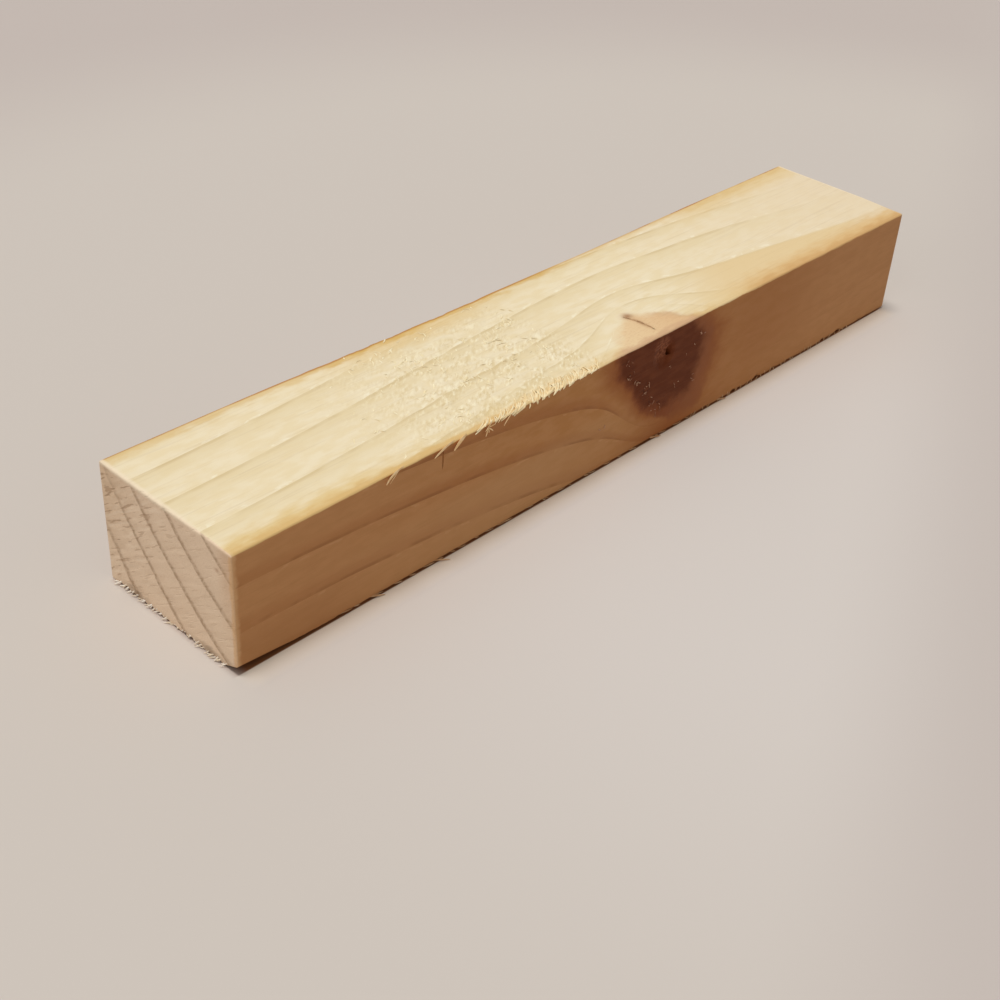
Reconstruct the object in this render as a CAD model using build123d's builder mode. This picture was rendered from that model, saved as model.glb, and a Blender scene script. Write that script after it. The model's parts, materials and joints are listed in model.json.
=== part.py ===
"""Wooden strip: a short softwood batten offcut with an ingrown knot, modelled in millimetres.

The strip lies along X on its wide face, and its origin is at the middle of its underside.
-X is the sawn end with the ragged lower edge, and -Y is the side that the branch came out of.
"""

import os
from math import cos, radians, sin

from build123d import *

# ----- the batten as it left the planer and the saw -----
LENGTH = 150.0
WIDTH = 27.0
THICKNESS = 19.0
ARRIS_RADIUS = 0.3          # the two upper long edges, rubbed round by handling
ARRIS_FLAT = 0.3            # the two lower long edges, worn to a small flat by the bench
END_EASE = 0.2              # the edges round the two saw cuts

# ----- low corners of the top face that the planer missed, each a facet that falls to a corner -----
NEAR_SKIP_LENGTH = 38.0     # along the front edge
NEAR_SKIP_WIDTH = 3.6       # across the end
NEAR_SKIP_DROP = 0.2        # at the corner
FAR_SKIP_LENGTH = 56.0
FAR_SKIP_WIDTH = 8.5
FAR_SKIP_DROP = 0.25

# ----- the front lower edge, worn all along to a shallow bevel -----
WEAR_WIDTH = 2.4            # across the near end
WEAR_NEAR_HEIGHT = 0.7
WEAR_FAR_HEIGHT = 0.5

# ----- the near front lower corner, knocked off -----
KNOCK_LENGTH = 16.0         # along the front edge
KNOCK_WIDTH = 3.0           # across the end
KNOCK_HEIGHT = 1.3          # at the corner

# ----- the back upper edge, worn flat along the middle of the strip -----
RUB_DEPTH = 0.65            # of the bevel at its middle
RUB_LENGTH = 110.0
RUB_FROM_NEAR_END = 20.0

# ----- the knot, whose branch runs in from the front face and down -----
KNOT_FROM_NEAR_END = 84.0   # to the pith, where it meets the front face
KNOT_BELOW_TOP = 3.6
BRANCH_DIVE = 53.0          # degrees below level
PITH_DIAMETER = 1.0
PITH_DEPTH = 3.0
POCKET_WIDTH = 5.0          # shallow hollow torn out beside the pith
POCKET_DEPTH = 0.4
POCKET_FROM_PITH = 1.4      # towards the near end

# ----- drying checks, each a thin bowed lens that comes to a point at both ends -----
TOP_CHECK_LENGTH = 6.3
TOP_CHECK_OPENING = 0.36
TOP_CHECK_DEPTH = 0.9
TOP_CHECK_BOW = 0.6
TOP_CHECK_TURN = 7.0        # degrees off square across the strip
TOP_CHECK_FROM_EDGE = 1.5
TOP_CHECK_FROM_PITH = 2.1   # towards the near end
FRONT_CHECK_LENGTH = 3.2
FRONT_CHECK_OPENING = 0.24
FRONT_CHECK_DEPTH = 0.7
FRONT_CHECK_BOW = 0.1
FRONT_CHECK_BELOW_TOP = 0.9
FRONT_CHECK_FROM_NEAR_END = 35.2

# ----- chips that the saw broke out of the near end's lower edge -----
CHIP_COUNT = 13
CHIP_HEIGHT = 0.9           # of the tallest
CHIP_SLOPE = 48.0           # degrees that a chip falls as it runs in
CHIP_MARGIN = 1.3           # sound wood left at the back corner
CHIP_START = 3.0            # sound wood left at the front corner

# ----- scallops torn out of the front lower edge, past the knot -----
TEAR_COUNT = 9
TEAR_FROM_NEAR_END = 92.5
TEAR_LENGTH = 44.0
TEAR_HEIGHT = 1.0           # of the tallest
TEAR_SLOPE = 42.0

# ----- places worked out from the sizes above -----
NEAR_X = -LENGTH / 2
FAR_X = LENGTH / 2
FRONT_Y = -WIDTH / 2
BACK_Y = WIDTH / 2
PITH_X = NEAR_X + KNOT_FROM_NEAR_END
PITH_Z = THICKNESS - KNOT_BELOW_TOP


def facet(corner, along, across):
    """Return the plane through three points, turned to face up."""
    normal = (Vector(*along) - Vector(*corner)).cross(Vector(*across) - Vector(*corner))
    if normal.Z < 0:
        normal = -normal
    return Plane(origin=corner, z_dir=normal)


def uneven(index):
    """Return a share between 0.4 and 1 that changes from one chip to the next."""
    return 0.4 + 0.6 * abs(sin(2.4 * index + 0.7))


def check_outline(mouth, length, opening, bow):
    """Return a bowed lens that runs from the origin of the plane mouth along its Y."""
    with BuildSketch(mouth) as lens:
        with BuildLine():
            ThreePointArc((0, 0), (bow + opening / 2, length / 2), (0, length))
            ThreePointArc((0, 0), (bow - opening / 2, length / 2), (0, length))
        make_face()
    return lens.sketch


with BuildPart() as wooden_strip:
    # the planed section, run from saw cut to saw cut
    with BuildSketch(Plane.YZ.offset(NEAR_X)):
        with Locations((0, THICKNESS / 2)):
            Rectangle(WIDTH, THICKNESS)
        fillet(vertices().group_by(Axis.Y)[-1], radius=ARRIS_RADIUS)
        chamfer(vertices().group_by(Axis.Y)[0], length=ARRIS_FLAT)
    extrude(amount=LENGTH)
    chamfer(faces().filter_by(Axis.X).edges(), length=END_EASE)

    # the two low corners of the top face
    near_skip = facet(
        corner=(NEAR_X, FRONT_Y, THICKNESS - NEAR_SKIP_DROP),
        along=(NEAR_X + NEAR_SKIP_LENGTH, FRONT_Y, THICKNESS),
        across=(NEAR_X, FRONT_Y + NEAR_SKIP_WIDTH, THICKNESS),
    )
    split(bisect_by=near_skip, keep=Keep.BOTTOM)
    far_skip = facet(
        corner=(FAR_X, FRONT_Y, THICKNESS - FAR_SKIP_DROP),
        along=(FAR_X - FAR_SKIP_LENGTH, FRONT_Y, THICKNESS),
        across=(FAR_X, FRONT_Y + FAR_SKIP_WIDTH, THICKNESS),
    )
    split(bisect_by=far_skip, keep=Keep.BOTTOM)

    # the bevel worn along the front lower edge, and the knocked corner at its near end
    worn = facet(
        corner=(NEAR_X, FRONT_Y, WEAR_NEAR_HEIGHT),
        along=(FAR_X, FRONT_Y, WEAR_FAR_HEIGHT),
        across=(NEAR_X, FRONT_Y + WEAR_WIDTH, 0),
    )
    split(bisect_by=worn, keep=Keep.TOP)
    knocked = facet(
        corner=(NEAR_X, FRONT_Y, KNOCK_HEIGHT),
        along=(NEAR_X + KNOCK_LENGTH, FRONT_Y, 0),
        across=(NEAR_X, FRONT_Y + KNOCK_WIDTH, 0),
    )
    split(bisect_by=knocked, keep=Keep.TOP)

    # the bevel rubbed along the back upper edge: the rim of a very large wheel, leaning at 45 degrees
    bite = RUB_DEPTH / 2**0.5
    wheel_radius = (RUB_LENGTH**2 / 4 + bite**2) / (2 * bite)
    outwards = Vector(0, 1, 1).normalized()
    rubbed_edge = Vector(NEAR_X + RUB_FROM_NEAR_END + RUB_LENGTH / 2, BACK_Y, THICKNESS)
    wheel = Plane(origin=rubbed_edge + outwards * (wheel_radius - bite), x_dir=(1, 0, 0), z_dir=(0, 1, -1))
    with Locations(wheel):
        Cylinder(radius=wheel_radius, height=4 * RUB_DEPTH, mode=Mode.SUBTRACT)

    # the hollow beside the pith, a cap of a large ball
    pocket_radius = (POCKET_WIDTH**2 / 4 + POCKET_DEPTH**2) / (2 * POCKET_DEPTH)
    with Locations((PITH_X - POCKET_FROM_PITH, FRONT_Y + POCKET_DEPTH - pocket_radius, PITH_Z)):
        Sphere(pocket_radius, mode=Mode.SUBTRACT)

    # the pith's hole, a pointed bore along the branch that starts just outside the face
    branch = Vector(0, cos(radians(BRANCH_DIVE)), -sin(radians(BRANCH_DIVE)))
    bore_start = Vector(PITH_X, FRONT_Y, PITH_Z) - branch * PITH_DIAMETER
    with Locations(Plane(origin=bore_start, z_dir=branch)):
        Cone(
            bottom_radius=PITH_DIAMETER / 2,
            top_radius=0,
            height=PITH_DIAMETER + PITH_DEPTH,
            align=(Align.CENTER, Align.CENTER, Align.MIN),
            mode=Mode.SUBTRACT,
        )

    # the check across the top of the knot
    top_check = Plane(
        origin=(PITH_X - TOP_CHECK_FROM_PITH, FRONT_Y + TOP_CHECK_FROM_EDGE, THICKNESS),
        x_dir=(cos(radians(TOP_CHECK_TURN)), sin(radians(TOP_CHECK_TURN)), 0),
        z_dir=(0, 0, 1),
    )
    top_lens = check_outline(top_check, TOP_CHECK_LENGTH, TOP_CHECK_OPENING, TOP_CHECK_BOW)
    extrude(top_lens, amount=-TOP_CHECK_DEPTH, mode=Mode.SUBTRACT)

    # the hairline check in the front face, near the top edge
    front_check_foot = THICKNESS - FRONT_CHECK_BELOW_TOP - FRONT_CHECK_LENGTH
    front_check = Plane(
        origin=(NEAR_X + FRONT_CHECK_FROM_NEAR_END, FRONT_Y, front_check_foot),
        x_dir=(1, 0, 0),
        z_dir=(0, -1, 0),
    )
    front_lens = check_outline(front_check, FRONT_CHECK_LENGTH, FRONT_CHECK_OPENING, FRONT_CHECK_BOW)
    extrude(front_lens, amount=-FRONT_CHECK_DEPTH, mode=Mode.SUBTRACT)

    # the ragged lower edge of the near end: a row of teeth that run in and out through the underside
    chip_pitch = (WIDTH - CHIP_START - CHIP_MARGIN) / CHIP_COUNT
    ragged = [(FRONT_Y + CHIP_START, -CHIP_HEIGHT)]
    for index in range(CHIP_COUNT):
        root = FRONT_Y + CHIP_START + chip_pitch * index
        ragged.append((root, CHIP_HEIGHT * 0.1))
        ragged.append((root + chip_pitch * uneven(index + 5), CHIP_HEIGHT * uneven(index)))
    ragged.append((BACK_Y - CHIP_MARGIN, 0))
    ragged.append((BACK_Y - CHIP_MARGIN, -CHIP_HEIGHT))
    with BuildSketch(Plane.YZ.offset(NEAR_X)):
        with BuildLine():
            Polyline(*ragged, close=True)
        make_face()
    chip_run = 2 * CHIP_HEIGHT / sin(radians(CHIP_SLOPE))
    chip_fall = (cos(radians(CHIP_SLOPE)), 0, -sin(radians(CHIP_SLOPE)))
    extrude(amount=chip_run, dir=chip_fall, mode=Mode.SUBTRACT)

    # the scallops along the front lower edge, which run in and out through the underside
    tear_pitch = TEAR_LENGTH / TEAR_COUNT
    front_face = Plane(origin=(NEAR_X + TEAR_FROM_NEAR_END, FRONT_Y, 0), x_dir=(1, 0, 0), z_dir=(0, -1, 0))
    with BuildSketch(front_face):
        with BuildLine():
            for index in range(TEAR_COUNT):
                left = tear_pitch * index
                crest = left + tear_pitch * (0.2 + 0.6 * uneven(index + 3))
                ThreePointArc((left, 0), (crest, TEAR_HEIGHT * uneven(index)), (left + tear_pitch, 0))
            Polyline((TEAR_LENGTH, 0), (TEAR_LENGTH, -TEAR_HEIGHT), (0, -TEAR_HEIGHT), (0, 0))
        make_face()
    tear_run = 2 * TEAR_HEIGHT / sin(radians(TEAR_SLOPE))
    tear_fall = (0, cos(radians(TEAR_SLOPE)), -sin(radians(TEAR_SLOPE)))
    extrude(amount=tear_run, dir=tear_fall, mode=Mode.SUBTRACT)

wooden_strip.part.label = "wooden_strip"

os.makedirs("parts", exist_ok=True)
export_step(wooden_strip.part, "parts/wooden_strip.step")
print(f"wooden_strip: {wooden_strip.part.volume:.0f} mm3, {len(wooden_strip.part.faces())} faces")
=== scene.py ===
# %% [markdown]
# # A short strip of bare softwood
#
# The object is one piece of wood: a batten offcut about as long as a hand, planed on its long sides and
# sawn off at both ends, with a knot in the side that faces us. Nothing is painted or varnished, so all of
# its looks come from how the tree grew and how the tools cut it. This lesson builds it in that order:
# the growth rings first, then the cut shape, then the torn fibres, then the finish, then the light.
#
# The shape has already been measured and modelled as a solid. We load that solid first, and every place
# in this file is worked out from its box.

# %% Load the solid
import itertools
import json
import math

import bmesh
import bpy
import numpy as np
from mathutils import Matrix, Vector
from mathutils.geometry import delaunay_2d_cdt

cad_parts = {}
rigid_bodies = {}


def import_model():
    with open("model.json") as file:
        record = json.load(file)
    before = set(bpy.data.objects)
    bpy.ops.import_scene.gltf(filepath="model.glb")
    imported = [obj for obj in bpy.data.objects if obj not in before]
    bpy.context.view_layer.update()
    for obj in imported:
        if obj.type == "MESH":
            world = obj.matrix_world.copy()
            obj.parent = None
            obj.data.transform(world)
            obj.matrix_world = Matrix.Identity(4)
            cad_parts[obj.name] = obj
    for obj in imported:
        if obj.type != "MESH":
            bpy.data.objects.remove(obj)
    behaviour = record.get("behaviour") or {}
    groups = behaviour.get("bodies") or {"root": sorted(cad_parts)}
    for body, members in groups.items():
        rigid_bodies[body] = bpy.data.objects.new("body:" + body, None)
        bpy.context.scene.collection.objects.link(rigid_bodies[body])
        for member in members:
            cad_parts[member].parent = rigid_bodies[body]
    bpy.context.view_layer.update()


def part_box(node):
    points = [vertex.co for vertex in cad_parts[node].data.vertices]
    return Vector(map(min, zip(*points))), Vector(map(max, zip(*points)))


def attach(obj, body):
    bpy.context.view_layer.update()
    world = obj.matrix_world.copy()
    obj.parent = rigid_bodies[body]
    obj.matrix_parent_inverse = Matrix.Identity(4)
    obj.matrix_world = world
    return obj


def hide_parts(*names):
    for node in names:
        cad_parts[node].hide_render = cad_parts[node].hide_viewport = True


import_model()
MM = 0.001
low_corner, high_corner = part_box("wooden_strip")
NEAR, FRONT, BOTTOM = (value / MM for value in low_corner)
FAR, BACK, TOP = (value / MM for value in high_corner)
LENGTH = FAR - NEAR
print(f"strip: {LENGTH:.1f} x {BACK - FRONT:.1f} x {TOP - BOTTOM:.1f} mm")

# %% [markdown]
# ## The camera
#
# A hand-held view from the near left, one and a half strip lengths away, tilted a few degrees as a hand
# tilts it. We could rotate a camera by eye, but building its three axes from an azimuth, an elevation and
# a roll keeps the view exact, and it moves back with the strip if the strip grows.

# %% Camera
AZIMUTH, ELEVATION, ROLL = (math.radians(angle) for angle in (-48.359, 35.096, 3.744))
AIM_X, AIM_Y = NEAR + 0.34795 * LENGTH, FRONT + 0.03013 * LENGTH
DISTANCE = 1.49701 * LENGTH
LENS = 54.714


def make_camera():
    """Place the camera round its aiming point on the floor and give it to the scene."""
    towards_us = Vector((
        math.sin(AZIMUTH) * math.cos(ELEVATION),
        -math.cos(AZIMUTH) * math.cos(ELEVATION),
        math.sin(ELEVATION),
    ))
    level = Vector((math.cos(AZIMUTH), math.sin(AZIMUTH), 0))
    upright = towards_us.cross(level)
    right = level * math.cos(ROLL) + upright * math.sin(ROLL)
    up = upright * math.cos(ROLL) - level * math.sin(ROLL)
    eye = (Vector((AIM_X, AIM_Y, 0)) + towards_us * DISTANCE) * MM
    camera = bpy.data.objects.new("camera", bpy.data.cameras.new("camera"))
    camera.matrix_world = Matrix.Translation(eye) @ Matrix((right, up, towards_us)).transposed().to_4x4()
    camera.data.sensor_width = 36
    camera.data.lens = LENS
    camera.data.clip_start = 0.01
    bpy.context.scene.collection.objects.link(camera)
    bpy.context.scene.camera = camera
    return camera


print("camera at", [round(value, 3) for value in make_camera().matrix_world.translation])

# %% [markdown]
# ## One formula, two uses
#
# The rings show in the colour of the wood and also in its surface, because the dark late wood wears less
# than the soft early wood. The surface is made with numpy arrays and the colour with shader nodes. We
# could write the growth twice, but the two would drift apart. Instead one small class wraps a node socket
# and overloads the operators, so the same Python expression runs on an array or adds Math nodes.


# %% Shader values as Python expressions
def feed(tree, socket, term):
    """Link a value to a socket, or set the socket to a plain number or colour."""
    if isinstance(term, Value):
        tree.links.new(term.socket, socket)
    else:
        socket.default_value = term


class Value:
    """A number or colour that changes over a surface: one output socket and the maths on it."""

    def __init__(self, tree, socket):
        self.tree = tree
        self.socket = socket

    def math(self, operation, *terms):
        node = self.tree.nodes.new("ShaderNodeMath")
        node.operation = operation
        for socket, term in zip(node.inputs, terms):
            feed(self.tree, socket, term)
        return Value(self.tree, node.outputs[0])

    def __add__(self, other):
        return self.math("ADD", self, other)

    def __sub__(self, other):
        return self.math("SUBTRACT", self, other)

    def __rsub__(self, other):
        return self.math("SUBTRACT", other, self)

    def __mul__(self, other):
        return self.math("MULTIPLY", self, other)

    def __truediv__(self, other):
        return self.math("DIVIDE", self, other)

    def __rtruediv__(self, other):
        return self.math("DIVIDE", other, self)

    def __neg__(self):
        return self.math("MULTIPLY", self, -1.0)

    __radd__ = __add__
    __rmul__ = __mul__


def either(operation, in_numpy):
    """Make a function that works on arrays and, through one Math node, on shader values."""
    def work(*terms):
        shader = next((term for term in terms if isinstance(term, Value)), None)
        return shader.math(operation, *terms) if shader else in_numpy(*terms)
    return work


root = either("SQRT", np.sqrt)
exp = either("EXPONENT", np.exp)
power = either("POWER", np.power)
size = either("ABSOLUTE", np.abs)
whole = either("FLOOR", np.floor)
larger = either("MAXIMUM", np.maximum)
smaller = either("MINIMUM", np.minimum)


def share(value, start, end):
    """How far a value has come from start to end, held between 0 and 1."""
    return larger(smaller((value - start) / (end - start), 1.0), 0.0)


def ease(value, start, end):
    """The same, with a soft start and finish."""
    part = share(value, start, end)
    return part * part * (3.0 - 2.0 * part)


def fade(value, start, end):
    """The other way round: 1 as far as start, and 0 from end on."""
    return 1.0 - ease(value, start, end)


def bump(value, centre, reach):
    """A smooth hill of height 1 over centre that has all but gone at twice its reach."""
    offset = (value - centre) / reach
    return exp(-(offset * offset))


print("maths ready for arrays and for shaders")

# %% [markdown]
# ## How the tree grew
#
# The strip was sawn from a trunk whose heart lay in front of it and above it, so the rings cross the near
# end as arcs that lean down towards the front. Each ring ends in a thin dark line of late wood. A branch
# came straight out of that heart. It enters by the front face, near the top, and dives down and back, and
# the rings swell round it as they grew over its root. The knot is wider along the grain than across it and
# its sides meet in a point, which a power a little over 1 gives where a circle would have 2.

# %% Growth rings and knot
TREE_Y, TREE_Z = FRONT - 28.4, TOP + 33.7          # the heart of the trunk, seen from the end
YEAR_ENDS = (31.3, 37.0, 42.6, 47.4, 53.2, 58.8, 63.7, 70.0, 75.8)
KNOT_X, KNOT_Z = NEAR + 84.0, TOP - 3.6            # the branch's own pith, on the front face
DIVE = math.radians(53)                            # how steeply the branch goes down as it goes in
KNOT_HALF_LENGTH, KNOT_HALF_WIDTH, KNOT_POINT = 12.2, 8.6, 1.2
KNOT_SHIFT, KNOT_SLANT, KNOT_FLARE = 1.0, 0.23, 0.46
KNOT_BLUNT, KNOT_FULLNESS = 7.1, 0.22              # its rounded lower point, and its fuller near side
SWELLING, SWELL_RADIUS, SWELL_EDGE = 20.9, 6.6, 2.49
SWELL_SHIFT, SWELL_SLANT, SWELL_FLARE, SWELL_STRETCH = 0.7, 0.09, 0.17, 1.09


def beside_branch(y, z):
    """Distance from the branch's pith, square to it and up towards the back."""
    return (y - FRONT) * math.sin(DIVE) + (z - KNOT_Z) * math.cos(DIVE)


def along_branch(y, z):
    """Distance along the branch, outwards from the front face."""
    return (y - FRONT) * math.cos(DIVE) - (z - KNOT_Z) * math.sin(DIVE)


def knot_reach(x, y, z):
    """0 at the pith of the knot and 1 at its rim."""
    aside, out = beside_branch(y, z), along_branch(y, z)
    along = x - (KNOT_X - KNOT_SHIFT - KNOT_SLANT * aside + KNOT_FLARE * out)
    lengthways = power(size(along) / KNOT_HALF_LENGTH, KNOT_POINT)
    sideways = power(size(aside) / KNOT_HALF_WIDTH, KNOT_POINT)
    full_side = KNOT_FULLNESS * bump(x, KNOT_X - 5.0, 4.5) * bump(z, TOP - 12.0, 4.0)
    return larger(power(lengthways + sideways, 1 / KNOT_POINT) - full_side, -aside / KNOT_BLUNT)


def growth(x, y, z):
    """How far from the heart of the trunk the wood at a point grew, with the rings swept round the knot."""
    from_heart = root((y - TREE_Y) * (y - TREE_Y) + (z - TREE_Z) * (z - TREE_Z))
    aside, out = beside_branch(y, z), along_branch(y, z)
    along = (x - (KNOT_X - SWELL_SHIFT + SWELL_SLANT * aside + SWELL_FLARE * out)) / SWELL_STRETCH
    swelling = SWELLING / (1.0 + exp((root(along * along + aside * aside) - SWELL_RADIUS) / SWELL_EDGE))

    # The stem was no true cone. Three broad bows and three small shifts bring its rings into place.
    long_bow = 4.54 * bump(x, KNOT_X - 12.2, 47.5)
    front_bow = 3.71 * bump(x, KNOT_X - 5.9, 19.4) * bump(y, FRONT, 4.9)
    far_bow = 3.35 * bump(x, KNOT_X + 23.4, 40.0) * bump(y, FRONT + 19.1, 12.9)
    near_half = 0.4 - 0.4 * ease(x, KNOT_X - 38, KNOT_X - 10) + 0.4 * ease(x, KNOT_X + 20, KNOT_X + 40)
    low_back = (1.4 - near_half) * fade(z, BOTTOM - 3, BOTTOM + 9) * ease(y, FRONT, BACK - 5)
    foot = 0.8 * fade(z, BOTTOM - 2, BOTTOM + 10) * (1.0 - share(x, NEAR, NEAR + 20))
    bows = long_bow + front_bow + far_bow
    return from_heart - bows - swelling - near_half - low_back - foot + 0.012 * (x - NEAR)


def years(grown):
    """The number of rings grown by then: a whole number is the dark line that ends a ring."""
    count = 0.0
    for start, end in zip(YEAR_ENDS, YEAR_ENDS[1:]):
        count = count + share(grown, start, end)
    return count


corner_age = years(growth(NEAR, np.array([FRONT, BACK]), np.array([TOP, BOTTOM])))
print(f"the near end crosses rings {corner_age[0]:.1f} to {corner_age[1]:.1f}")

# %% [markdown]
# ## Noise for shapes
#
# Torn and worn edges are never straight. numpy has no smooth noise of its own, so this one blends random
# numbers that are kept in a table, one for each corner of a lattice. It gives the same wood on every run.


# %% Smooth noise
def cloud(x, y, z=0.0, seed=0):
    """Smooth noise between 0 and 1 that changes over a distance of 1."""
    table = np.random.default_rng(seed).random(4096)
    x, y, z = np.broadcast_arrays(x, y, z)
    corner = [np.floor(value).astype(np.int64) for value in (x, y, z)]
    part = [ease(value - cell, 0.0, 1.0) for value, cell in zip((x, y, z), corner)]
    total = np.zeros(x.shape)
    for step in itertools.product((0, 1), repeat=3):
        weight, mixed = 1.0, 0
        for cell, inside, side, prime in zip(corner, part, step, (73856093, 19349663, 83492791)):
            weight = weight * (inside if side else 1 - inside)
            mixed = mixed ^ (cell + side) * prime
        total += weight * table[mixed & 4095]
    return total


print("noise at three places:", cloud(np.array([0.5, 7.2, 31.0]), 2.5, seed=1).round(2))

# %% [markdown]
# ## The cut shape
#
# The planer missed two low corners of the top face. The back upper edge is rubbed to a bevel, and the
# front lower edge is worn to a shallow one that leaves a line of shadow on the bench. The saw broke chips
# out of the lower edge of the near end, and the front lower edge is torn past the knot. All of these only
# move the top and the underside up or down, so they are two height functions, and any point of a plain box
# can be slid between them.

# %% Top and underside as height functions
NEAR_SKIP_LENGTH, NEAR_SKIP_WIDTH, NEAR_SKIP_DROP = 38.0, 3.6, 0.2
FAR_SKIP_LENGTH, FAR_SKIP_WIDTH, FAR_SKIP_DROP = 56.0, 8.5, 0.25
WEAR_WIDTH, WEAR_NEAR_HEIGHT, WEAR_FAR_HEIGHT = 2.4, 0.4, 0.16
KNOCK_LENGTH, KNOCK_WIDTH, KNOCK_HEIGHT = 16.0, 3.0, 1.3
RUB_START, RUB_LENGTH, RUB_DEPTH = 20.0, 110.0, 0.65
CHIP_COUNT, CHIP_HEIGHT, CHIP_SLOPE = 13, 0.63, math.radians(48)
CHIP_START, CHIP_MARGIN = 3.0, 1.3
TEAR_COUNT, TEAR_START, TEAR_LENGTH, TEAR_HEIGHT = 9, 92.5, 44.0, 0.9
TEAR_SLOPE = math.radians(42)


def near_margin(x, y):
    """Above 0 on the low near front corner of the top face, and 1 at the corner itself."""
    return 1.0 - (x - NEAR) / NEAR_SKIP_LENGTH - (y - FRONT) / NEAR_SKIP_WIDTH


def far_margin(x, y):
    """The same for the far front corner."""
    return 1.0 - (FAR - x) / FAR_SKIP_LENGTH - (y - FRONT) / FAR_SKIP_WIDTH


def uneven(index):
    """A share between 0.4 and 1 that changes from one chip to the next."""
    return 0.4 + 0.6 * abs(math.sin(2.4 * index + 0.7))


def chip_edge(y):
    """Height of the ragged lower edge across the near end."""
    pitch = (BACK - FRONT - CHIP_START - CHIP_MARGIN) / CHIP_COUNT
    places, heights = [FRONT + CHIP_START], [0.0]
    for index in range(CHIP_COUNT):
        foot = FRONT + CHIP_START + pitch * index
        places += [foot + 0.01, foot + pitch * uneven(index + 5) * 0.98]
        heights += [CHIP_HEIGHT * 0.1, CHIP_HEIGHT * uneven(index)]
    return np.interp(y, places + [BACK - CHIP_MARGIN], heights + [0.0], left=0.0, right=0.0)


def tear_edge(x):
    """Height of the torn front lower edge along the strip."""
    pitch = TEAR_LENGTH / TEAR_COUNT
    start = NEAR + TEAR_START
    height = np.zeros_like(x)
    for index in range(TEAR_COUNT):
        left = start + pitch * index
        crest = left + pitch * (0.2 + 0.6 * uneven(index + 3))
        reach = np.where(x < crest, crest - left, left + pitch - crest)
        height = np.maximum(height, TEAR_HEIGHT * uneven(index) * (1 - ((x - crest) / reach) ** 2))
    return height


def rub_width(x):
    """How far the rubbed bevel comes in from the back upper edge."""
    from_middle = (x - NEAR - RUB_START) / (RUB_LENGTH / 2) - 1.0
    return RUB_DEPTH * larger(1.0 - from_middle * from_middle, 0.0)


def ceiling(x, y):
    """Height of the top face."""
    near_drop = NEAR_SKIP_DROP * larger(near_margin(x, y), 0.0)
    far_drop = FAR_SKIP_DROP * larger(far_margin(x, y), 0.0)
    return TOP - near_drop - far_drop - larger(rub_width(x) - (BACK - y), 0.0)


def worn_edge(x):
    """How high the worn bevel reaches up the front face."""
    return WEAR_NEAR_HEIGHT + (WEAR_FAR_HEIGHT - WEAR_NEAR_HEIGHT) * share(x, NEAR, FAR)


def ground(x, y):
    """Height of the underside, which is ragged wherever it has been worn or broken."""
    ragged = 0.3 * (cloud(x * 0.6, y * 0.5, seed=13) - 0.5) + 0.3 * (cloud(x * 1.9, y * 0.7, seed=14) - 0.5)
    worn = worn_edge(x) * (1 + ragged) - WEAR_NEAR_HEIGHT * (y - FRONT) / WEAR_WIDTH
    knocked = KNOCK_HEIGHT * (1 - (x - NEAR) / KNOCK_LENGTH - (y - FRONT) / KNOCK_WIDTH)
    chips = chip_edge(y) - (x - NEAR) * math.tan(CHIP_SLOPE)
    jagged = 0.1 + 1.1 * cloud(x * 0.7, y * 0.2, seed=15) * (0.5 + cloud(x * 2.6, y * 0.4, seed=16))
    tears = tear_edge(x) * jagged - (y - FRONT) * math.tan(TEAR_SLOPE)
    return BOTTOM + np.maximum.reduce([worn, knocked, chips, tears, np.zeros_like(worn)])


print("underside at the near front corner:", ground(np.array([NEAR]), np.array([FRONT])).round(2), "mm")

# %% [markdown]
# ## The small relief
#
# Torn hollows, saw marks and the two drying checks are only tenths of a millimetre deep, but light that
# grazes a face shows them, so they are real moves of the surface and not only shading. Each face gets a
# function that says how deep the surface lies at a place.


# %% Late wood and drying checks
ARRIS = 0.3
POCKET_WIDTH, POCKET_DEPTH, POCKET_FROM_PITH = 5.0, 0.4, 1.4
PITH_DIAMETER, PITH_DEPTH = 1.0, 3.0
TOP_CHECK = {"length": 6.3, "opening": 0.36, "bow": 0.6, "depth": 0.9}
TOP_CHECK_X, TOP_CHECK_Y = KNOT_X - 2.1, FRONT + 1.5    # its front tip
TOP_CHECK_LEAN = math.radians(7)
FRONT_CHECK = {"length": 2.5, "opening": 0.24, "bow": 0.1, "depth": 0.7}
FRONT_CHECK_X, FRONT_CHECK_Z = NEAR + 35.2, TOP - 3.3   # its lower tip
WOOL_FROM, WOOL_FULL, WOOL_FADES, WOOL_TO = NEAR + 24, NEAR + 48, NEAR + 66, NEAR + 71
SAW_TILT = math.radians(33)


def late_wood(phase):
    """How much late wood there is at a point of one year's growth: slow to come, and gone at once."""
    return 0.4 * ease(phase, 0.35, 0.93) + 0.6 * ease(phase, 0.8, 0.96)


def check_depth(along, across, length, opening, bow, depth):
    """A drying check: a bowed lens that closes to a line below and to a point at both ends."""
    lens = np.maximum(4 * along / length * (1 - along / length), 0)
    gap = np.maximum(opening / 2 * lens, 1e-6)
    return depth * np.clip(1 - np.abs(across - bow * lens) / gap, 0, 1)


def top_check(x, y):
    """The check across the top of the knot, which leans a little off square."""
    dx, dy = x - TOP_CHECK_X, y - TOP_CHECK_Y
    along = dy * math.cos(TOP_CHECK_LEAN) - dx * math.sin(TOP_CHECK_LEAN)
    across = dx * math.cos(TOP_CHECK_LEAN) + dy * math.sin(TOP_CHECK_LEAN)
    return check_depth(along, across, **TOP_CHECK)


def wool(x):
    """1 along the stretch of the top face where the grain tore up, 0 elsewhere."""
    return ease(x, WOOL_FROM, WOOL_FULL) * fade(x, WOOL_FADES, WOOL_TO)


print(f"the grain tore up over {WOOL_TO - WOOL_FROM:.0f} mm of the top")


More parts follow.
